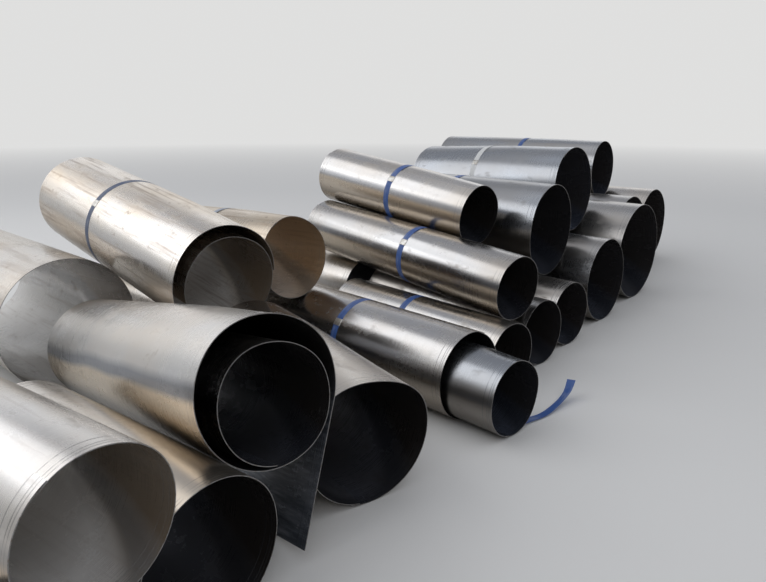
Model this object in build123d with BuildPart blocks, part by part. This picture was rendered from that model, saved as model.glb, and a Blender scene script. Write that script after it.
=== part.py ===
from build123d import *
import math
import os

# A heap of thin steel sheets, each rolled up loosely into an open tube and laid on its side.
# Sizes are in millimetres. +X runs along the heap, +Y from the open near ends to the far
# ends, +Z up. The floor is Z = 0 and the origin lies under the middle of the heap.

os.makedirs("parts", exist_ok=True)

# Sheet stock
sheet = 3.0
narrow_sheet = 1250.0
standard_sheet = 1500.0
wide_sheet = 2000.0

# Flat straps tied round the rolls
strap_width = 50.0
strap_thickness = 0.4
strap_gap = 0.1

# How the turns and the rolls lie on each other
lap_gap = 1.0
seat_gap = 0.3
strapped_seat_gap = strap_thickness + 2 * strap_gap
settle_reach = 80.0
lap_step = sheet + lap_gap

# Loosely wound and nested rolls
tail_gap = 108.0
tail_length = 680.0
crescent_gap = 80.0
nested_proud = 300.0

# Rows in which the floor rolls lie, one behind the other
front_row = 1560.0
row_gap = 90.0
back_row = front_row + standard_sheet + row_gap
far_row = front_row + wide_sheet + row_gap

# How finely the lay of a roll is worked out
near_enough = 1e-4
steepest = 16.0
pitch_steps = 32
place_steps = 24

# How a sheet winds inwards from its free outer end, as (sweep in degrees, step inwards).
# Each arc carries on smoothly from the last; a step inwards tightens it from there on.
# A plain roll is round, and only its last stretch eases in under the free end.
easing = 60.0
lap_sweep = 10.0
ease_step = lap_step / (1 - math.cos(math.radians(easing)))
plain_turn = ((360 - easing, 0.0), (easing + lap_sweep, ease_step))

# Where the free end lies, in degrees round from the right: clear of what the roll touches
floor_lap = 250
upper_lap = 120


def loose_turns(gap, inner_sweep):
    """Windings whose inner turn lies against the outer one below, a gap away from it above."""
    return (315, 0.0), (180, gap / 2), (inner_sweep, lap_step / 2)


class Roll:
    """One rolled sheet: where its near end lies, which way it points and how it is wound."""

    def __init__(self, name, y, yaw, radius, length, beside=(), shift=0.0, course=plain_turn,
                 lap=floor_lap, strap=0.0, tail=0.0, reach=settle_reach):
        self.name = name
        self.x, self.y = shift, y
        self.beside, self.shift = beside, shift
        self.z = radius + strap_gap + strap_thickness if strap else radius
        self.yaw, self.pitch = yaw, 0.0
        self.radius, self.length = radius, length
        self.course, self.lap = course, lap
        self.strap, self.tail, self.reach = strap, tail, reach
        self.wound = self.arcs()

    def axis(self):
        yaw, pitch = math.radians(self.yaw), math.radians(self.pitch)
        level = math.cos(pitch)
        return math.sin(yaw) * level, math.cos(yaw) * level, math.sin(pitch)

    def arcs(self):
        """Centre, mid-sheet radius, start angle and sweep of each arc of the winding."""
        radius = self.radius - sheet / 2
        centre_x = centre_y = 0.0
        angle = self.lap
        wound = []
        for sweep, drop in self.course:
            centre_x += drop * math.cos(math.radians(angle))
            centre_y += drop * math.sin(math.radians(angle))
            radius -= drop
            wound.append((centre_x, centre_y, radius, angle, sweep))
            angle += sweep
        return wound

    def facing(self, angle):
        """Centre and outer radius of the part of the outermost turn that faces an angle."""
        turned = (math.degrees(angle) - self.lap) % 360
        for x, y, radius, start, sweep in self.wound:
            if turned < start - self.lap + sweep:
                return x, y, radius + sheet / 2

    def end_plane(self, along=0.0):
        """Plane across the roll, seen from its near end, at a distance along its axis."""
        forward = Vector(*self.axis())
        place = Vector(self.x, self.y, self.z) + forward * along
        return Plane(origin=place, x_dir=forward.cross(Vector(0, 0, 1)), z_dir=-forward)


def dot(a, b):
    return a[0] * b[0] + a[1] * b[1] + a[2] * b[2]


def closest(upper, lower):
    """Across and up from one roll to another where they come closest, and their reach."""
    axis, other = upper.axis(), lower.axis()
    level = math.hypot(axis[0], axis[1])
    side = (axis[1] / level, -axis[0] / level, 0.0)
    up = (axis[2] * side[1], -axis[2] * side[0], level)
    along = dot(axis, other)
    apart = (lower.x - upper.x, lower.y - upper.y, lower.z - upper.z)
    offset = -dot(apart, axis)
    start = [a + b * offset / along for a, b in zip(apart, other)]
    drift = [b / along - a for a, b in zip(axis, other)]
    spread = dot(drift, drift)
    lean = 0.0
    for _ in range(3):
        first = max(0.0, lean * along ** 2 - offset)
        last = min(upper.length, (lower.length + lean * along) * along - offset)
        if last <= first:
            return math.inf, 0.0, 0.0, level
        station = min(max(-dot(start, drift) / spread, first), last) if spread > 1e-12 else first
        gap = [a + b * station for a, b in zip(start, drift)]
        across, height = dot(gap, side), dot(gap, up)
        angle = math.atan2(height, across)
        lower_x, lower_y, lower_radius = lower.facing(angle + math.pi)
        lean = (dot(drift, side) * math.cos(angle) + dot(drift, up) * math.sin(angle)) * lower_radius
    upper_x, upper_y, upper_radius = upper.facing(angle)
    across += lower_x - upper_x
    height += lower_y - upper_y
    seat = strapped_seat_gap if upper.strap or lower.strap else seat_gap
    reach = upper_radius + math.hypot(lower_radius, lean) + seat
    return across, height, reach, level


def rise_over(upper, lower):
    """How far the upper roll must rise to lie a seat gap clear of the lower one."""
    across, height, reach, level = closest(upper, lower)
    if abs(across) >= reach:
        return -math.inf
    return (height + math.sqrt(reach ** 2 - across ** 2)) / level


def is_clear(roll, other):
    """Whether two rolls keep their seat gap."""
    across, height, reach, _ = closest(roll, other)
    return math.hypot(across, height) >= reach


def may_touch(roll, other):
    """Whether a roll could meet another one from within its reach along the heap."""
    swing = sum(each.length * abs(each.axis()[0]) for each in (roll, other))
    return abs(other.x - roll.x) < roll.reach + roll.radius + other.radius + swing


def push_up(roll, other):
    """Put a floor roll on the right of another, its shift clear of touching."""
    forward = other.axis()
    low = other.x + (roll.y - other.y) * forward[0] / forward[1]
    high = low + 2 * (roll.radius + other.radius) + roll.length + other.length
    while high - low > near_enough:
        roll.x = (low + high) / 2
        if is_clear(roll, other):
            high = roll.x
        else:
            low = roll.x
    roll.x = high + roll.shift


def rest_height(roll, pitch, laid):
    """Height of the roll's middle once it is let down at this pitch, from a sheet's width up."""
    roll.pitch = pitch
    roll.z = wide_sheet
    drop = roll.length * math.sin(math.radians(pitch))
    on_floor = roll.radius * math.cos(math.radians(pitch)) - min(0.0, drop)
    rise = wide_sheet
    while abs(rise) > near_enough:
        rise = max([rise_over(roll, other) for other in laid] + [on_floor - roll.z])
        roll.z += rise
    return roll.z + drop / 2


def lowest(height_at, low, high, steps):
    """Value between low and high that gives the least height, by golden section."""
    golden = (math.sqrt(5) - 1) / 2
    left, right = high - golden * (high - low), low + golden * (high - low)
    at_left, at_right = height_at(left), height_at(right)
    for _ in range(steps):
        if at_left < at_right:
            high, right, at_right = right, left, at_left
            left = high - golden * (high - low)
            at_left = height_at(left)
        else:
            low, left, at_left = left, right, at_right
            right = low + golden * (high - low)
            at_right = height_at(right)
    return (low + high) / 2


def settle(roll, laid):
    """Let a roll down into the groove near its place, with both ends free to drop."""
    place = roll.x
    close = [other for other in laid if may_touch(roll, other)]

    def best_pitch():
        return lowest(lambda pitch: rest_height(roll, pitch, close), -steepest, steepest, pitch_steps)

    def height_at(x):
        roll.x = x
        return rest_height(roll, best_pitch(), close)

    roll.x = lowest(height_at, place - roll.reach, place + roll.reach, place_steps)
    rest_height(roll, best_pitch(), close)
    laid.append(roll)


def nest(roll, outer, proud):
    """Lay a roll in the bottom of another's bore, with its near end standing proud of it."""
    forward = outer.axis()
    roll.x = outer.x - forward[0] * proud
    roll.y = outer.y - forward[1] * proud
    roll.z = outer.z - outer.radius + sheet + seat_gap + roll.radius
    return roll


def wind(roll):
    """The rolled sheet: its section drawn across the near end and run along the axis."""
    with BuildPart() as made:
        with BuildSketch(roll.end_plane()):
            with BuildLine():
                starts, ends = [], []
                for offset in (sheet / 2, -sheet / 2):
                    face = []
                    for x, y, radius, start, sweep in roll.wound:
                        face.append(CenterArc((x, y), radius + offset, start, sweep))
                    first = face[0] @ 0
                    if roll.tail:
                        hanging = first - (face[0] % 0) * roll.tail
                        Line(hanging, first)
                        first = hanging
                    starts.append(first)
                    ends.append(face[-1] @ 1)
                Line(starts)
                Line(ends)
            make_face()
        extrude(amount=-roll.length)
        if roll.tail:
            split(bisect_by=Plane.XY.offset(seat_gap), keep=Keep.TOP)
    made.part.label = roll.name
    return made.part


def tie(roll):
    """A flat strap pulled tight round a roll."""
    with BuildPart() as made:
        with BuildSketch(roll.end_plane(roll.strap * roll.length)):
            Circle(roll.radius + strap_gap + strap_thickness)
            Circle(roll.radius + strap_gap, mode=Mode.SUBTRACT)
        extrude(amount=-strap_width)
    return made.part


# Rolls that lie on the floor. Each is beside an earlier one, its shift clear of touching it.
heap = [
    Roll("edge_roll", front_row, -2, 250, narrow_sheet),
    Roll("under_roll", front_row - 120, 0, 266, narrow_sheet, ["edge_roll"], 176),
    Roll("open_roll", front_row - 70, 19, 300, narrow_sheet, ["under_roll"], 301),
    Roll("outer_roll", front_row, 9, 245, wide_sheet, ["open_roll"], 179, lap=60, strap=0.42),
    Roll("smooth_roll", front_row, 11, 200, standard_sheet, ["outer_roll"], 71, strap=0.53),
    Roll("low_roll_1", front_row, 10, 220, standard_sheet, ["smooth_roll"]),
    Roll("low_roll_2", front_row, 9, 230, standard_sheet, ["low_roll_1"]),
    Roll("low_roll_3", front_row, 6, 330, standard_sheet, ["low_roll_2"], 102),
    Roll("low_roll_4", front_row, 6, 420, standard_sheet, ["low_roll_3"], 101),
    Roll("low_roll_5", front_row + 340, 5, 400, wide_sheet, ["low_roll_4"]),
    Roll("low_roll_6", front_row + 340, 5, 400, wide_sheet, ["low_roll_5"], 17),
    Roll("back_left_roll", far_row, 6, 400, wide_sheet, ["under_roll"], 729),
    Roll("back_roll_1", back_row, 5, 260, standard_sheet, ["back_left_roll"], 128),
    Roll("back_roll_2", back_row, 8, 240, standard_sheet, ["outer_roll"], 371),
]

# Rolls that rest on others, lowest first. Each starts midway between two, plus its shift.
upper_rolls = [
    Roll("corner_roll", front_row - 162, -2, 227, standard_sheet, ["edge_roll", "under_roll"],
         lap=upper_lap, reach=60),
    Roll("tail_roll", front_row + 5, 12.5, 284, wide_sheet, ["under_roll", "open_roll"], -56,
         course=loose_turns(tail_gap, 150), lap=-24, tail=tail_length, reach=5),
    Roll("side_roll", front_row + 80, 12, 206, wide_sheet, ["smooth_roll", "low_roll_1"], -47,
         lap=upper_lap, strap=0.43, reach=30),
    Roll("tall_roll", front_row + 290, 3, 340, standard_sheet, ["low_roll_2", "low_roll_3"], -83,
         lap=upper_lap, strap=0.53),
    Roll("top_roll", front_row + 460, 4, 360, standard_sheet, ["low_roll_3", "low_roll_4"], -115,
         lap=upper_lap, strap=0.53),
    Roll("end_roll", front_row + 840, 2, 320, wide_sheet, ["low_roll_5", "low_roll_6"],
         lap=upper_lap, strap=0.45),
    Roll("lidded_roll", front_row + 590, 8, 220, standard_sheet, ["side_roll", "tall_roll"], -30,
         lap=upper_lap, strap=0.46, reach=150),
    Roll("bronze_roll", back_row - 290, 4, 272, standard_sheet, ["back_roll_1", "outer_roll"], 170,
         lap=upper_lap, strap=0.45),
    Roll("crescent_roll", far_row - 930, 9, 316, wide_sheet, ["tail_roll", "bronze_roll"], -20,
         course=loose_turns(crescent_gap, 60), lap=0, strap=0.55),
]

laid = {}
for roll in heap:
    if roll.beside:
        push_up(roll, laid[roll.beside[0]])
    laid[roll.name] = roll

# A smaller roll lies inside the outer one and stands out of its near end
outer_roll = laid["outer_roll"]
inner_roll = Roll("inner_roll", 0, outer_roll.yaw, 207, standard_sheet)
heap.append(nest(inner_roll, outer_roll, nested_proud))

for roll in upper_rolls:
    left, right = [laid[name] for name in roll.beside]
    roll.x = (left.x + right.x) / 2 + roll.shift
    settle(roll, heap)
    laid[roll.name] = roll

parts = [wind(roll) for roll in heap]
straps = [tie(roll) for roll in heap if roll.strap]

# The origin goes under the middle of the heap
boxes = [part.bounding_box() for part in parts]
middle_x = (min(box.min.X for box in boxes) + max(box.max.X for box in boxes)) / 2
middle_y = (min(box.min.Y for box in boxes) + max(box.max.Y for box in boxes)) / 2
to_origin = Location((-middle_x, -middle_y, 0))

for part in parts:
    part.move(to_origin)
    export_step(part, f"parts/{part.label}.step")
for roll in heap:
    place = f"({roll.x - middle_x:.1f}, {roll.y - middle_y:.1f}, {roll.z:.1f})"
    print(f"{roll.name}: near end {place}, yaw {roll.yaw:.2f}, pitch {roll.pitch:.3f}, "
          f"radius {roll.radius:.0f}, length {roll.length:.0f}")

with BuildPart() as strap_set:
    for strap in straps:
        add(strap.moved(to_origin))
strap_set.part.label = "straps"
export_step(strap_set.part, "parts/straps.step")
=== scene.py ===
import bpy
import math
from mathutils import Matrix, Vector, noise


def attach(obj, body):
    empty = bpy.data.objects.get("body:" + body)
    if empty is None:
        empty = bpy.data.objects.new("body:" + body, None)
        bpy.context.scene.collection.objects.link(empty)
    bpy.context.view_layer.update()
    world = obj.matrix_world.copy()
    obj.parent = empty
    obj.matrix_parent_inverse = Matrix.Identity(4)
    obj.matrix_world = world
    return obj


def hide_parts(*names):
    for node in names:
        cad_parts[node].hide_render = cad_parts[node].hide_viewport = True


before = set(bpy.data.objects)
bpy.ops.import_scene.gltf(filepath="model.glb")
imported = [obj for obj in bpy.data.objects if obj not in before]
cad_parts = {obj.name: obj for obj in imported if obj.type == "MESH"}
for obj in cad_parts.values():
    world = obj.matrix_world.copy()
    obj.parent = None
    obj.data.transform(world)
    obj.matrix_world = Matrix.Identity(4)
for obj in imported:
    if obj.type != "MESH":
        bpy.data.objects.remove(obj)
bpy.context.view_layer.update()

scene = bpy.context.scene
scene.view_settings.view_transform = "Standard"

# Sheet stock, in metres and degrees, as in the part's source
sheet = 0.003
lapGap = 0.001
lapStep = sheet + lapGap
easing = 60  # a plain roll is round but for this last stretch, which eases in under the free end
lapSweep = 10
easeStep = lapStep / (1 - math.cos(math.radians(easing)))

# How finely the rolls are drawn, and how uneven their rims are
drawing = {
    "turnStep": 3,
    "lengthSteps": 26,
    "tailRows": 14,
    "rimBand": 0.03,
    "rimTrim": 0.004,
    "rimWander": 0.0035,
    "dent": 0.0012,
    "dentReach": 0.25,
    "ripple": 0.008,
    "floorClear": 0.0006,
}


# A winding is a row of (sweep in degrees, step inwards)
def plainTurn():
    return ((360 - easing, 0), (easing + lapSweep, easeStep))


# The inner turn lies against the outer one below, a gap away from it above
def looseTurns(gap, innerSweep):
    return ((315, 0), (180, gap / 2), (innerSweep, lapStep / 2))


# Each roll:
# lap      where its free end lies, in degrees round from the right
# turns    how it is wound, if not as a plain turn, and tail, how long its hanging end is
# sag      how deep, at which angle, how wide and how far in the near end has sunk
# tone     its steel, from blue-grey (below 0) and cool grey (0) to bronze (1)
# light    how light it is outside, and band, how strong the painted reflection and shade bands along it are
# inside   how light the bore is, its low values painted shade in the dark bores, and metal, how much it mirrors
# brown    how light the bore's brown upper wall is, darkened as painted shade, lit, how strongly its deep lower wall is painted sunlit, and rust
rolls = {
    "edge_roll": {"lap": 250, "tone": 0.40, "inside": 0.27, "seed": 24},
    "under_roll": {"lap": 250, "band": 0.8, "tone": 0.3, "inside": 0.17, "seed": 2},
    "corner_roll": {
        "lap": 120, "sag": (0.006, 80, 60, 0.5), "band": 0.6, "tone": 0.15, "inside": 1.00,
        "metal": 0.3, "rust": 0.15, "lit": 1.0, "seed": 1,
    },
    "open_roll": {
        "lap": 250, "sag": (0.048, 78, 68, 1.0), "tone": 0.2, "inside": 0.22, "seed": 3,
    },
    "outer_roll": {"lap": 60, "band": 0.7, "tone": 0.12, "inside": 0.20, "seed": 4},
    "inner_roll": {
        "lap": 250, "sag": (0.01, 60, 55, 0.28), "tone": -0.4, "light": 0.62, "inside": 0.22,
        "seed": 5,
    },
    "smooth_roll": {"lap": 250, "tone": 0.10, "inside": 0.22, "seed": 6},
    "low_roll_1": {"lap": 250, "tone": 0.0, "light": 0.85, "inside": 0.24, "seed": 7},
    "low_roll_2": {"lap": 250, "tone": 0.10, "inside": 0.27, "seed": 8},
    "low_roll_3": {"lap": 250, "tone": -0.1, "light": 0.8, "inside": 0.24, "seed": 9},
    "low_roll_4": {"lap": 250, "tone": 0.0, "light": 0.8, "inside": 0.27, "seed": 10},
    "low_roll_5": {"lap": 250, "tone": -0.1, "light": 0.85, "inside": 0.31, "seed": 11},
    "low_roll_6": {"lap": 250, "tone": 0.20, "inside": 0.34, "seed": 12},
    "back_roll_1": {"lap": 250, "tone": 0.30, "inside": 0.34, "seed": 13},
    "back_roll_2": {"lap": 250, "tone": 0.20, "inside": 0.34, "seed": 14},
    "back_left_roll": {
        "lap": 250, "tone": 0.35, "inside": 0.90, "metal": 0.35, "rust": 0.3, "lit": 0.8,
        "seed": 15,
    },
    "tail_roll": {
        "lap": -24, "turns": looseTurns(0.108, 150), "tail": 0.55, "sag": (0.012, 75, 60, 0.6),
        "band": 1.15, "tone": 0.12, "light": 1.15, "inside": 0.17, "metal": 0.5, "seed": 16,
    },
    "side_roll": {
        "lap": 120, "band": 1.0, "tone": 0.15, "light": 0.95, "inside": 0.20, "seed": 17,
    },
    "tall_roll": {"lap": 120, "tone": -0.3, "light": 0.72, "inside": 0.20, "seed": 18},
    "top_roll": {
        "lap": 120, "sag": (0.014, 95, 60, 0.7), "band": 0.3, "tone": -0.4, "light": 0.68,
        "inside": 0.31, "seed": 19,
    },
    "end_roll": {
        "lap": 120, "sag": (0.012, 80, 60, 0.8), "band": 0.3, "tone": -0.2, "light": 0.76,
        "inside": 0.34, "seed": 20,
    },
    "lidded_roll": {
        "lap": 120, "sag": (0.012, 60, 60, 0.6), "band": 0.8, "tone": 0.15, "light": 1.12,
        "inside": 0.17, "seed": 21,
    },
    "bronze_roll": {
        "lap": 120, "sag": (0.022, 62, 60, 0.6), "band": 0.4, "tone": 0.75, "brown": 0.75,
        "inside": 1.30, "metal": 0.3, "rust": 0.5, "lit": 0.5, "seed": 22,
    },
    "crescent_roll": {
        "lap": 0, "turns": looseTurns(0.080, 60), "sag": (0.012, 70, 60, 0.7), "band": 0.5,
        "tone": 0.4, "light": 1.35, "inside": 1.05, "metal": 0.3, "rust": 0.5, "lit": 0.8,
        "seed": 23,
    },
}


# Where a roll lies in the frame: near end, axis, right and up across it, radius and length
def placeOf(name):
    points = [v.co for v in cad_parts[name].data.vertices]
    lows = sorted(points, key=lambda p: p.y)
    count = len(points) // 2
    near, far = lows[:count], lows[count:]
    along = sum(far, Vector()) / count - sum(near, Vector()) / count
    for _ in range(2):
        axis = along.normalized()
        middle = sum(points, Vector()) / len(points)
        near = [p for p in points if (p - middle).dot(axis) < 0]
        far = [p for p in points if (p - middle).dot(axis) >= 0]
        along = sum(far, Vector()) / len(far) - sum(near, Vector()) / len(near)
    right = axis.cross(Vector((0, 0, 1))).normalized()
    up = right.cross(axis)
    across = [p.dot(right) for p in near]
    height = [p.dot(up) for p in near]
    radius = (max(across) - min(across)) / 2
    centreUp = max(height) - radius if "tail" in rolls[name] else min(height) + radius
    start = sum(p.dot(axis) for p in near) / len(near)
    return {
        "near": axis * start + right * (max(across) - radius) + up * centreUp,
        "axis": axis,
        "right": right,
        "up": up,
        "radius": radius,
        "length": along.length,
    }


# A point beside a roll's axis: how far along, how far out and at which angle
def pointOn(at, along, radius, angle):
    return (at["near"] + at["axis"] * along + at["right"] * radius * math.cos(angle)
            + at["up"] * radius * math.sin(angle))


# Points of the sheet's middle line: x, y, outward x and y, distance run, turned, share of the tail
def windingPoints(radius, lap, turns, tail):
    centreX = centreY = 0
    middle = radius - sheet / 2
    angle = lap
    points = []
    run = 0
    if tail:
        a = math.radians(lap)
        for k in range(drawing["tailRows"]):
            share = 1 - k / drawing["tailRows"]
            points.append((middle * math.cos(a), middle * math.sin(a), math.cos(a), math.sin(a),
                           tail * (1 - share), 0, share))
        run = tail
    first = 0
    for sweep, drop in turns:
        centreX += drop * math.cos(math.radians(angle))
        centreY += drop * math.sin(math.radians(angle))
        middle -= drop
        pieces = max(2, round(sweep / drawing["turnStep"]))
        for k in range(first, pieces + 1):
            turned = angle + sweep * k / pieces
            a = math.radians(turned)
            points.append((
                centreX + middle * math.cos(a), centreY + middle * math.sin(a),
                math.cos(a), math.sin(a),
                run + middle * math.radians(sweep) * k / pieces, turned - lap, 0,
            ))
        first = 1
        angle += sweep
        run += middle * math.radians(sweep)
    return points


# Places along a roll, close together at its two rims
def lengthPlaces(length):
    band, steps = drawing["rimBand"], drawing["lengthSteps"]
    rim = [0, 0.003, 0.010, band]
    middle = [band + (length - 2 * band) * k / steps for k in range(1, steps)]
    return rim + middle + [length - v for v in reversed(rim)]


# How far the wall has sagged inwards here, near the roll's open near end
def sagAt(facts, nx, ny, v):
    if "sag" not in facts:
        return 0
    depth, centre, width, fade = facts["sag"]
    away = (math.degrees(math.atan2(ny, nx)) - centre + 180) % 360 - 180
    if abs(away) >= width or v >= fade:
        return 0
    around = math.cos(math.radians(90 * away / width)) ** 2
    return depth * around * (1 - v / fade) ** 2 * (1 + 2 * v / fade)


# Both faces of a roll's sheet as rows of points, with their places on its two UV maps
def sheetPoints(at, facts, line, places):
    seed = facts["seed"] * 7.3
    floor = drawing["floorClear"]
    vertices, uvs, rings = [], [], []
    for side in (1, -1):
        for v in places:
            fromRim = min(v, at["length"] - v)
            edge = max(0, 1 - fromRim / drawing["dentReach"])
            for x, y, nx, ny, run, turned, share in line:
                wander = noise.noise(Vector((nx * 1.3, ny * 1.3, seed + turned / 200)))
                trim = drawing["rimTrim"] + drawing["rimWander"] * wander
                trim *= max(0, 1 - fromRim / drawing["rimBand"])
                along = v + trim if v < at["length"] / 2 else v - trim
                dent = noise.noise(Vector((nx * 2.1 + seed, ny * 2.1, v * 1.7)))
                sink = -drawing["dent"] * edge * (0.5 + 0.5 * dent)
                out = side * sheet / 2 + sink - sagAt(facts, nx, ny, v)
                spot = (at["near"] + at["axis"] * along + at["right"] * (x + nx * out)
                        + at["up"] * (y + ny * out))
                if share:
                    hang = at["right"] * ny - at["up"] * nx
                    reach = min(facts["tail"], (spot.z - floor) / -hang.z)
                    ripple = drawing["ripple"] * math.sin(5 * v + 2) * share
                    spot += hang * reach * share + (at["right"] * nx + at["up"] * ny) * ripple
                if spot.z < floor:
                    spot.z = floor
                vertices.append(spot)
                uvs.append((run, v))
                rings.append((0.5 + 0.5 * nx, 0.5 + 0.5 * ny))
    return vertices, uvs, rings


# The sheet's faces, and what each is: 0 outside, 1 inside, 2 cut edge
def sheetFaces(columns, rows):
    half = columns * rows
    faces, kinds = [], []

    def corner(side, row, column):
        return (0 if side > 0 else half) + row * columns + column

    for row in range(rows - 1):
        for column in range(columns - 1):
            quad = [corner(1, row, column), corner(1, row + 1, column),
                    corner(1, row + 1, column + 1), corner(1, row, column + 1)]
            faces.append(quad[::-1])
            kinds.append(0)
            faces.append([i + half for i in quad])
            kinds.append(1)
    for column in range(columns - 1):
        for row, turn in ((0, 1), (rows - 1, -1)):
            quad = [corner(1, row, column), corner(1, row, column + 1),
                    corner(-1, row, column + 1), corner(-1, row, column)]
            faces.append(quad[::turn])
            kinds.append(2)
    for row in range(rows - 1):
        for column, turn in ((0, -1), (columns - 1, 1)):
            quad = [corner(1, row, column), corner(1, row + 1, column),
                    corner(-1, row + 1, column), corner(-1, row, column)]
            faces.append(quad[::turn])
            kinds.append(2)
    return faces, kinds


# A new piece with its materials and UV maps, shaded smooth across edges up to this many degrees
def newPiece(name, vertices, faces, materials, maps, smoothUpTo=35):
    mesh = bpy.data.meshes.new(name)
    mesh.from_pydata(vertices, [], faces)
    for mapName, spots in maps.items():
        layer = mesh.uv_layers.new(name=mapName)
        for loop in mesh.loops:
            layer.data[loop.index].uv = spots[loop.vertex_index]
    for face in mesh.polygons:
        face.use_smooth = True
    mesh.set_sharp_from_angle(angle=math.radians(smoothUpTo))
    for material in materials:
        mesh.materials.append(material)
    piece = bpy.data.objects.new(name, mesh)
    scene.collection.objects.link(piece)
    return piece


# A rolled sheet, drawn anew where its node lies
def buildRoll(name):
    facts = rolls[name]
    at = placeOf(name)
    turns = facts.get("turns") or plainTurn()
    line = windingPoints(at["radius"], facts["lap"], turns, facts.get("tail", 0))
    places = lengthPlaces(at["length"])
    vertices, uvs, rings = sheetPoints(at, facts, line, places)
    faces, kinds = sheetFaces(len(line), len(places))
    materials = (sheetMaterial(name, "outside", at["length"]),
                 sheetMaterial(name, "inside", at["length"]), edgeMaterial())
    piece = newPiece(name + "_sheet", vertices, faces, materials,
                     {"sheetMap": uvs, "ringMap": rings})
    piece.data.polygons.foreach_set("material_index", kinds)
    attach(piece, "root")
    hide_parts(name)
    return at


# Short calls for making the nodes of a material or of the world
class Nodes:
    def __init__(self, tree):
        self.tree = tree

    def add(self, kind, inputs=(), **settings):
        node = self.tree.nodes.new(kind)
        for key, value in settings.items():
            setattr(node, key, value)
        for key, value in dict(inputs).items():
            self.set(node, key, value)
        return node

    def set(self, node, key, value):
        if isinstance(value, bpy.types.NodeSocket):
            self.tree.links.new(value, node.inputs[key])
        else:
            node.inputs[key].default_value = value

    def uv(self, scaleU, scaleV, shift=0.0):
        source = self.add("ShaderNodeUVMap", uv_map="sheetMap")
        mapping = self.add("ShaderNodeMapping", {"Vector": source.outputs["UV"]})
        mapping.inputs["Scale"].default_value = (scaleU, scaleV, 1)
        mapping.inputs["Location"].default_value = (shift, shift * 0.37, shift)
        return mapping.outputs["Vector"]

    def noise(self, vector, scale=1.0, detail=3.0, rough=0.5):
        made = self.add("ShaderNodeTexNoise", {"Vector": vector, "Scale": scale,
                                               "Detail": detail, "Roughness": rough})
        return made.outputs["Fac"]

    def ramp(self, value, low, high, out=(0.0, 1.0), shape="LINEAR"):
        made = self.add("ShaderNodeMapRange", {"Value": value, "From Min": low, "From Max": high,
                                               "To Min": out[0], "To Max": out[1]},
                        interpolation_type=shape)
        return made.outputs["Result"]

    def math(self, operation, a, b):
        return self.add("ShaderNodeMath", {0: a, 1: b}, operation=operation).outputs[0]

    def mix(self, factor, a, b):
        made = self.add("ShaderNodeMix", data_type="RGBA")
        self.set(made, 0, factor)
        self.set(made, 6, a)
        self.set(made, 7, b)
        return made.outputs[2]

    def bump(self, height, distance, strength=1.0, normal=None):
        made = self.add("ShaderNodeBump", {"Height": height, "Distance": distance,
                                           "Strength": strength})
        if normal:
            self.set(made, "Normal", normal)
        return made.outputs["Normal"]


# A new material, with its shader at hand
def newMaterial(name):
    material = bpy.data.materials.new(name)
    material.use_nodes = True
    m = Nodes(material.node_tree)
    m.material = material
    m.shader = m.tree.nodes["Principled BSDF"]
    return m


# Each pattern in the steel: how fine it is round the sheet and along the roll, detail, roughness
# and how far it is shifted from the others
patterns = {
    "blotch": (2.2, 1.1, 4.0, 0.55, 0),
    "grain": (5.0, 420.0, 2.0, 0.6, 0),
    "streak": (1.1, 30.0, 3.0, 0.6, 5),
    "smudge": (14.0, 8.0, 5.0, 0.65, 9),
    "wander": (0.5, 1.3, 2.0, 0.5, 2),
    "wave": (2.6, 2.0, 2.0, 0.4, 2),
    "rustRun": (34.0, 1.6, 4.0, 0.6, 4),
    "rustSpots": (22.0, 19.0, 6.0, 0.7, 6),
    "scratch": (46.0, 5.0, 6.0, 0.7, 7),
    "scoreWaver": (3.0, 0.0, 2.0, 0.5, 0),
    "scoreBreaks": (9.0, 0.0, 3.0, 0.5, 3),
}

# Roughness of bare steel and what smudges, grain and rust add, then heights of the bumps, in metres
steelFinish = {
    "roughness": (0.22, 0.33),
    "smudged": 0.16,
    "grained": 0.02,
    "rusted": 0.3,
    "metalInside": 0.55,
    "grainHeight": 0.00003,
    "scoreHeight": 0.0006,
    "waveHeight": 0.0035,
    "scoreInsets": (0.017, 0.031, 0.058),
}


def pattern(m, name, seed):
    fineRound, fineAlong, detail, rough, shift = patterns[name]
    return m.noise(m.uv(fineRound, fineAlong, seed + shift), 1.0, detail, rough)


coolGrey = (0.60, 0.61, 0.63)
blueGrey = (0.50, 0.53, 0.60)
bronze = (0.55, 0.465, 0.36)
rustBrown = (0.155, 0.085, 0.045)
# colour of the painted sunlight on the deep lower wall of lit bores
paintedSunlitSteel = (0.88, 0.88, 0.87)
# blue of the painted shade in the dark bores
paintedShadeBlue = (0.86, 0.95, 1.2)  # what the dark bores are tinted by


def blended(a, b, share):
    return tuple(x + (y - x) * share for x, y in zip(a, b)) + (1,)


def shaded(colour, factor):
    return tuple(c * factor for c in colour[:3]) + (1,)


def tinted(colour, tint):
    return tuple(a * b for a, b in zip(colour[:3], tint)) + (1,)


# Fine scored lines close inside both rims, a little wavy and broken
def rimLines(m, length, seed):
    place = m.add("ShaderNodeUVMap", uv_map="sheetMap").outputs["UV"]
    v = m.add("ShaderNodeSeparateXYZ", {0: place}).outputs[1]
    waver = m.ramp(pattern(m, "scoreWaver", seed), 0.0, 1.0, (-0.003, 0.003))
    broken = m.ramp(pattern(m, "scoreBreaks", seed), 0.34, 0.5)
    total = None
    for inset in steelFinish["scoreInsets"]:
        for line in (inset, length - inset):
            near = m.math("ABSOLUTE", m.math("SUBTRACT", m.math("ADD", v, waver), line), 0.0)
            mark = m.ramp(near, 0.0012, 0.0026, (1.0, 0.0))
            total = mark if total is None else m.math("MAXIMUM", total, mark)
    return m.math("MULTIPLY", total, broken)
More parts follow.
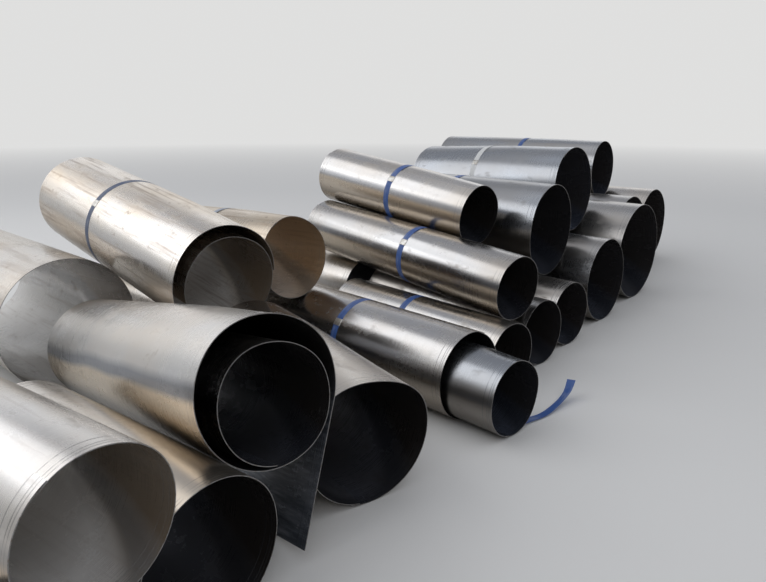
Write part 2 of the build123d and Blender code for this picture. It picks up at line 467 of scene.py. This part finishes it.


# Painted reflection and shade in bands along a roll, from the light top through grey, a dark
# blue-grey band and a bronze band to a dark underside: where each starts and is full on its height,
# share, colour
def paintedReflectionBands(m, facts, light, height, colour):
    for low, high, share, tint in (
        (0.86, 0.76, 0.45, shaded(coolGrey, 0.62 * light)),
        (0.68, 0.62, 0.80, shaded(blueGrey, 0.33 * light)),
        (0.57, 0.52, 0.90, shaded(bronze, 0.95 * light)),
        (0.38, 0.26, 0.85, shaded(bronze, 0.28 * light)),
    ):
        share *= facts.get("band", 0.5)
        colour = m.mix(m.math("MULTIPLY", m.ramp(height, low, high), share), colour, tint)
    return colour


# In the bore: a brown upper wall darkened as painted shade, a painted shadow band, and painted
# sunlight low and deep down
def boreTintsAndPaintedLight(m, facts, tone, seed, height, colour):
    sheetPlace = m.add("ShaderNodeUVMap", uv_map="sheetMap").outputs["UV"]
    placed = m.add("ShaderNodeSeparateXYZ", {0: sheetPlace})
    run, fromNear = placed.outputs[0], placed.outputs[1]
    deep = m.ramp(fromNear, 0.0, 0.8)
    place = m.math("ADD", height, m.math("MULTIPLY", deep, -0.5))
    # brown upper wall, its tint darkened as painted shade
    brown = shaded(tinted(tone, (0.95, 0.72, 0.48)), facts.get("brown", 0.34))
    colour = m.mix(m.math("MULTIPLY", m.ramp(place, -0.04, 0.18), 0.9), colour, brown)
    # a painted shadow band between the brown wall and the painted sunlight
    paintedShadowBand = m.math("MULTIPLY", m.ramp(place, -0.04, 0.02), m.ramp(place, 0.18, 0.08))
    colour = m.mix(m.math("MULTIPLY", paintedShadowBand, 0.7), colour, shaded(tone, 0.3))
    # painted sunlight, come in through the far end, on the deep lower wall
    paintedSunPool = m.math("MULTIPLY", m.ramp(place, 0.0, -0.12), facts.get("lit", 0))
    colour = m.mix(paintedSunPool, colour, paintedSunlitSteel + (1,))
    if facts.get("tail"):  # scratched hanging end
        scratch = pattern(m, "scratch", seed)
        worn = m.mix(m.ramp(scratch, 0.42, 0.66), (0.085, 0.098, 0.12, 1), (0.24, 0.26, 0.30, 1))
        colour = m.mix(m.ramp(run, facts["tail"] + 0.12, facts["tail"] - 0.05), colour, worn)
    return colour, paintedSunPool


# Mill-finish steel: rolling grain round the sheet, painted reflection and shade bands outside,
# painted light and shade in the bore, rubbed marks and rim scores
def sheetMaterial(name, side, length):
    facts = rolls[name]
    m = newMaterial(name + "_" + side)
    seed = facts["seed"] * 3.1
    inside = side == "inside"
    # in the bore, low inside values are painted shade
    light = facts["inside"] if inside else facts.get("light", 1)
    tone = shaded(blended(coolGrey, bronze, facts["tone"]), light)
    warm = shaded(blended(coolGrey, bronze, min(1, facts["tone"] + 0.5)), light)
    # dark bores are tinted blue as painted shade
    if inside and "lit" not in facts:
        tone, warm = tinted(tone, paintedShadeBlue), tinted(warm, paintedShadeBlue)
    blotch, grain, streak, smudge, wave = (
        pattern(m, kind, seed) for kind in ("blotch", "grain", "streak", "smudge", "wave")
    )
    colour = m.mix(m.ramp(blotch, 0.36, 0.66), tone, warm)

    ringPlace = m.add("ShaderNodeUVMap", uv_map="ringMap").outputs["UV"]
    ring = m.add("ShaderNodeSeparateXYZ", {0: ringPlace})
    wander = m.ramp(pattern(m, "wander", seed), 0.0, 1.0, (-0.06, 0.06))
    height = m.math("ADD", ring.outputs[1], wander)
    if inside:
        # painted light and shade in the bore
        colour, paintedSunPool = boreTintsAndPaintedLight(m, facts, tone, seed, height, colour)
    else:
        # painted reflection and shade bands on the outside
        colour = paintedReflectionBands(m, facts, light, height, colour)
    colour = m.mix(m.math("MULTIPLY", m.ramp(streak, 0.45, 0.75), 0.08), colour, shaded(tone, 0.6))
    stain = tinted(tone, (0.42, 0.36, 0.29))
    colour = m.mix(m.math("MULTIPLY", m.ramp(smudge, 0.60, 0.74), 0.45), colour, stain)
    lines = rimLines(m, length, seed)
    colour = m.mix(m.math("MULTIPLY", lines, 0.5), colour, shaded(tone, 0.35))
    rust = None
    if facts.get("rust"):
        rust = m.math("MAXIMUM", m.ramp(pattern(m, "rustRun", seed), 0.52, 0.72),
                      m.ramp(pattern(m, "rustSpots", seed), 0.60, 0.70))
        rust = m.math("MULTIPLY", rust, facts["rust"])
        colour = m.mix(rust, colour, rustBrown + (1,))
    m.set(m.shader, "Base Color", colour)

    rough = m.ramp(blotch, 0.3, 0.7, steelFinish["roughness"])
    rough = m.math("ADD", rough, m.ramp(smudge, 0.55, 0.75, (0.0, steelFinish["smudged"])))
    grained = steelFinish["grained"]
    rough = m.math("ADD", rough, m.ramp(grain, 0.3, 0.7, (-grained, grained)))
    if rust:
        rough = m.math("ADD", rough, m.math("MULTIPLY", rust, steelFinish["rusted"]))
    m.set(m.shader, "Roughness", rough)
    metal = facts.get("metal", steelFinish["metalInside"]) if inside else 1.0
    if rust and inside:
        # rust and the painted sunlit patch are made less metallic
        dull = m.math("MAXIMUM", rust, paintedSunPool)
        m.set(m.shader, "Metallic", m.ramp(dull, 0.0, 1.0, (metal, 0.05)))
    else:
        m.shader.inputs["Metallic"].default_value = metal
    fine = m.bump(grain, steelFinish["grainHeight"], 0.1 if inside else 0.2)
    scored = m.bump(lines, steelFinish["scoreHeight"], 0.6, fine)
    m.set(m.shader, "Normal", m.bump(wave, steelFinish["waveHeight"], 0.5, scored))
    return m.material


madeOnce = {}


def once(name, make):
    if name not in madeOnce:
        madeOnce[name] = make(name)
    return madeOnce[name]


# Cut edge of the sheet: brighter, with shear marks and a little rust
def edgeMaterial():
    def make(name):
        m = newMaterial(name)
        spots = m.noise(m.uv(60.0, 60.0), 1.0, 4.0, 0.6)
        colour = m.mix(m.ramp(spots, 0.45, 0.7), (0.30, 0.30, 0.30, 1), (0.17, 0.13, 0.10, 1))
        m.set(m.shader, "Base Color", colour)
        m.set(m.shader, "Roughness", m.ramp(spots, 0.3, 0.7, (0.35, 0.6)))
        m.shader.inputs["Metallic"].default_value = 1.0
        m.set(m.shader, "Normal", m.bump(spots, 0.0003, 0.6))
        return m.material
    return once("cut_edge", make)


strapColours = {
    "blue": (0.045, 0.115, 0.36, 1),
    "navy": (0.05, 0.08, 0.16, 1),
    "white": (0.75, 0.76, 0.76, 1),
    "pale": (0.30, 0.34, 0.42, 1),
}


# Woven plastic band with lengthwise ribs, scuffed a little pale
def strapMaterial(colourName):
    def make(name):
        m = newMaterial(name)
        base = strapColours[colourName]
        pale = blended(base[:3], (0.62, 0.64, 0.66), 0.35)
        rub = m.noise(m.uv(9.0, 30.0, 4.0), 1.0, 4.0, 0.6)
        m.set(m.shader, "Base Color", m.mix(m.ramp(rub, 0.5, 0.75), base, pale))
        m.set(m.shader, "Roughness", m.ramp(rub, 0.3, 0.7, (0.38, 0.55)))
        ribs = m.add("ShaderNodeTexWave", {"Vector": m.uv(0.0, 1.0), "Scale": 60.0},
                     wave_type="BANDS", bands_direction="Y").outputs["Fac"]
        m.set(m.shader, "Normal", m.bump(ribs, 0.0003, 0.6))
        return m.material
    return once("strap_" + colourName, make)


# Pressed steel of the seals, dulled in spots
def sealMaterial():
    def make(name):
        m = newMaterial(name)
        where = m.add("ShaderNodeTexCoord").outputs["Object"]
        spots = m.noise(where, 60.0, 4.0, 0.6)
        worn = m.mix(m.ramp(spots, 0.4, 0.7), (0.60, 0.60, 0.58, 1), (0.40, 0.36, 0.31, 1))
        m.set(m.shader, "Base Color", worn)
        m.set(m.shader, "Roughness", m.ramp(spots, 0.3, 0.7, (0.30, 0.5)))
        m.shader.inputs["Metallic"].default_value = 1.0
        m.set(m.shader, "Normal", m.bump(spots, 0.0003, 0.5))
        return m.material
    return once("seal_steel", make)


# Straps: how far along its roll each lies, and its colour
straps = {
    "outer_roll": (0.42, "blue"),
    "smooth_roll": (0.53, "blue"),
    "side_roll": (0.43, "blue"),
    "tall_roll": (0.53, "blue"),
    "top_roll": (0.53, "white"),
    "end_roll": (0.45, "blue"),
    "lidded_roll": (0.46, "blue"),
    "bronze_roll": (0.45, "pale"),
    "crescent_roll": (0.55, "navy"),
}

# doubled is where the second layer starts and how far it goes, in degrees
strap = {
    "width": 0.05,
    "thickness": 0.0004,
    "gap": 0.0001,
    "start": 100,
    "doubled": (118, 34),
    "steps": 144,
}


# A flat band round a roll, with its doubled end under a pressed seal
def buildStrap(name, at):
    share, colourName = straps[name]
    inner = at["radius"] + strap["gap"]
    station = share * at["length"]
    bands = []
    for first, reach, lift in ((strap["start"], 360, 0.0), (*strap["doubled"], strap["thickness"])):
        count = max(6, round(strap["steps"] * reach / 360))
        bands.append([
            (math.radians(first + reach * k / count), inner + lift * min(1, 4 * k / count + 0.3))
            for k in range(count + 1)
        ])
    width, thickness = strap["width"], strap["thickness"]
    vertices, faces, uvs = [], [], []
    for band in bands:
        base = len(vertices)
        for a, r in band:
            for depth, level in ((0, 0), (0, thickness), (width, thickness), (width, 0)):
                vertices.append(pointOn(at, station + depth, r + level, a))
                uvs.append((a * inner, depth))
        for k in range(len(band) - 1):
            for side in range(4):
                a, b = base + 4 * k + side, base + 4 * k + (side + 1) % 4
                faces.append([a, b, b + 4, a + 4])
        faces.append([base + i for i in (3, 2, 1, 0)])
        faces.append([base + 4 * (len(band) - 1) + i for i in range(4)])
    piece = newPiece(name + "_strap", vertices, faces, [strapMaterial(colourName)],
                     {"sheetMap": uvs})
    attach(piece, "root")
    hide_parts("straps")
    buildSeal(name, at, inner + 2 * thickness, station)


# Sizes in metres, the angle round the roll at which a seal starts in degrees
seal = {
    "length": 0.045,
    "angle": 138,
    "fold": 0.0035,
    "plate": 0.0005,
    "crimp": 0.0004,
    "steps": 12,
}


# A pressed metal clip over the strap's doubled end, its long edges folded down
def buildSeal(name, at, inner, station):
    vertices, faces = [], []
    fold, width, steps = seal["fold"], strap["width"], seal["steps"]
    profile = (
        (-fold, -0.0009), (-fold * 0.6, 0.0007), (0.006, 0.0010), (width / 2, 0.0013),
        (width - 0.006, 0.0010), (width + fold * 0.6, 0.0007), (width + fold, -0.0009),
    )
    for k in range(steps + 1):
        a = math.radians(seal["angle"]) + seal["length"] / inner * (k / steps)
        crimp = -seal["crimp"] if k % 4 == 2 else 0.0
        for depth, level in profile:
            vertices.append(pointOn(at, station + depth, inner + level + crimp, a))
    wide = len(profile)
    for k in range(steps):
        for i in range(wide - 1):
            a = k * wide + i
            faces.append([a, a + 1, a + 1 + wide, a + wide])
    piece = newPiece(name + "_seal", vertices, faces, [sealMaterial()], {}, smoothUpTo=180)
    thick = piece.modifiers.new("plate", "SOLIDIFY")
    thick.thickness = seal["plate"]
    thick.offset = 1.0
    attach(piece, "root")


# The points that it follows, smooth steps between two of them, and how it twists and from where
looseStrap = {
    "path": (
        (-1.32, -2.115, 0.0008), (-1.26, -2.135, 0.0008),
        (-1.14, -2.17, 0.01), (-1.0, -2.215, 0.003),
        (-0.86, -2.235, 0.014), (-0.74, -2.245, 0.045),
        (-0.66, -2.24, 0.11), (-0.63, -2.235, 0.15),
    ),
    "steps": 10,
    "twist": 0.9,
    "twistFrom": 0.25,
    "colour": "blue",
}


# A cut strap trodden into the floor under the nested roll, its free end curling up
def buildLooseStrap():
    path = [Vector(p) for p in looseStrap["path"]]
    stations = []
    for k in range(1, len(path) - 2):
        for j in range(looseStrap["steps"]):
            t = j / looseStrap["steps"]
            a, b, c, d = path[k - 1:k + 3]
            stations.append(0.5 * (2 * b + (c - a) * t + (2 * a - 5 * b + 4 * c - d) * t * t
                                   + (3 * b - a - 3 * c + d) * t ** 3))
    vertices, uvs, faces = [], [], []
    run = 0
    for k, spot in enumerate(stations):
        ahead = stations[min(k + 1, len(stations) - 1)] - stations[max(k - 1, 0)]
        share = k / (len(stations) - 1)
        tilt = looseStrap["twist"] * max(0, share - looseStrap["twistFrom"]) * math.sin(3.0 * share)
        level = ahead.cross(Vector((0, 0, 1))).normalized()
        over = level.cross(ahead).normalized()
        wide = level * math.cos(tilt) + over * math.sin(tilt)
        thick = wide.cross(ahead).normalized() * strap["thickness"]
        spot = spot + Vector((0, 0, abs(math.sin(tilt)) * strap["width"] / 2))
        for side, lift in ((-1, 0), (-1, 1), (1, 1), (1, 0)):
            vertices.append(spot + wide * side * strap["width"] / 2 + thick * lift)
            uvs.append((run, strap["width"] * (side + 1) / 2))
        if k:
            run += (spot - last).length
            for side in range(4):
                a, b = 4 * (k - 1) + side, 4 * (k - 1) + (side + 1) % 4
                faces.append([a, b, b + 4, a + 4])
        last = spot
    faces.append([3, 2, 1, 0])
    faces.append([4 * (len(stations) - 1) + i for i in range(4)])
    piece = newPiece("loose_strap", vertices, faces, [strapMaterial(looseStrap["colour"])],
                     {"sheetMap": uvs})
    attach(piece, "root")


print("rolls and straps")
for rollName in rolls:
    place = buildRoll(rollName)
    if rollName in straps:
        buildStrap(rollName, place)

print("loose strap")
buildLooseStrap()

print("camera")
# At a standing eye height before the heap's near left corner, in metres and degrees
view = {
    "place": (-4.1209, -3.4561, 1.6),
    "heading": 36.9,
    "lookDown": 15.3,
    "focalPixels": 643,
    "photoWidth": 766,
    "sensorWidth": 36,
}
camera = bpy.data.objects.new("camera", bpy.data.cameras.new("camera"))
scene.collection.objects.link(camera)
camera.data.sensor_width = view["sensorWidth"]
camera.data.lens = view["focalPixels"] / view["photoWidth"] * view["sensorWidth"]
camera.location = view["place"]
camera.rotation_euler = (math.radians(90 - view["lookDown"]), 0, math.radians(view["heading"] - 90))
scene.camera = camera

backdropColour = (0.74, 0.74, 0.735, 1)
paleFloor = {
    "half": 60,
    "colour": (0.78, 0.78, 0.77, 1),
    "roughness": 0.8,
    "haze": (9.0, 34.0),
}


# A pale floor that melts into the backdrop farther off
def stageFloor():
    half = paleFloor["half"]
    mesh = bpy.data.meshes.new("floor")
    corners = [(-half, -half, 0), (half, -half, 0), (half, half, 0), (-half, half, 0)]
    mesh.from_pydata(corners, [], [(0, 1, 2, 3)])
    m = newMaterial("pale_floor")
    m.shader.inputs["Base Color"].default_value = paleFloor["colour"]
    m.shader.inputs["Roughness"].default_value = paleFloor["roughness"]
    place = m.add("ShaderNodeNewGeometry").outputs["Position"]
    away = m.add("ShaderNodeVectorMath", {0: place}, operation="LENGTH").outputs["Value"]
    haze = m.add("ShaderNodeEmission", {"Color": backdropColour, "Strength": 1.0}).outputs[0]
    share = m.ramp(away, *paleFloor["haze"])
    mixed = m.add("ShaderNodeMixShader", {0: share, 1: m.shader.outputs[0], 2: haze}).outputs[0]
    m.set(m.tree.nodes["Material Output"], "Surface", mixed)
    mesh.materials.append(m.material)
    floor = bpy.data.objects.new("floor", mesh)
    scene.collection.objects.link(floor)


# What the steel mirrors: each row is a band of heights and the colour from there upwards
dome = {
    "bands": (
        (0.20, 0.27, (1.08, 1.09, 1.11, 1)),
        (0.40, 0.56, (0.36, 0.37, 0.40, 1)),
        (0.80, 0.97, (0.80, 0.81, 0.84, 1)),
    ),
    "curtain": (0.11, 0.115, 0.13, 1),
}


# A pale studio dome, bright overhead, with a dark curtain low down behind the camera
def stageWorld():
    world = bpy.data.worlds.new("studio")
    scene.world = world
    world.use_nodes = True
    m = Nodes(world.node_tree)
    background = m.tree.nodes["Background"]
    where = m.add("ShaderNodeTexCoord").outputs["Generated"]
    height = m.add("ShaderNodeSeparateXYZ", {0: where}).outputs[2]
    turn = math.radians(view["heading"])
    forward = m.add("ShaderNodeVectorMath", {0: where, 1: (math.cos(turn), math.sin(turn), 0)},
                    operation="DOT_PRODUCT").outputs["Value"]
    sky = backdropColour
    for low, high, colour in dome["bands"]:
        sky = m.mix(m.ramp(height, low, high, shape="SMOOTHSTEP"), sky, colour)
    behind = m.math("MULTIPLY", m.ramp(forward, 0.15, -0.45, shape="SMOOTHSTEP"),
                    m.ramp(height, 0.66, 0.36, shape="SMOOTHSTEP"))
    sky = m.mix(behind, sky, dome["curtain"])
    m.set(background, "Color", sky)
    background.inputs["Strength"].default_value = 1.0


# Each lamp: place, what it points at, width, depth and power
lamps = {
    "key": ((-6, 5, 8), (-0.5, 0, 0.5), 12, 7, 350),
    "front": ((-7, -8, 6), (-1, -1, 0.5), 5, 3, 80),
    "low": ((-5.6, 7.5, 4.2), (-3.4, -1.5, 0.5), 3, 3, 30),
}


def softbox(name):
    place, aim, width, depth, power = lamps[name]
    light = bpy.data.lights.new(name, "AREA")
    light.shape = "RECTANGLE"
    light.size, light.size_y = width, depth
    light.energy = power
    lamp = bpy.data.objects.new(name, light)
    lamp.location = place
    lamp.rotation_euler = (Vector(aim) - Vector(place)).to_track_quat("-Z", "Y").to_euler()
    scene.collection.objects.link(lamp)


print("floor, backdrop and lamps")
stageFloor()
stageWorld()
for lampName in lamps:
    softbox(lampName)
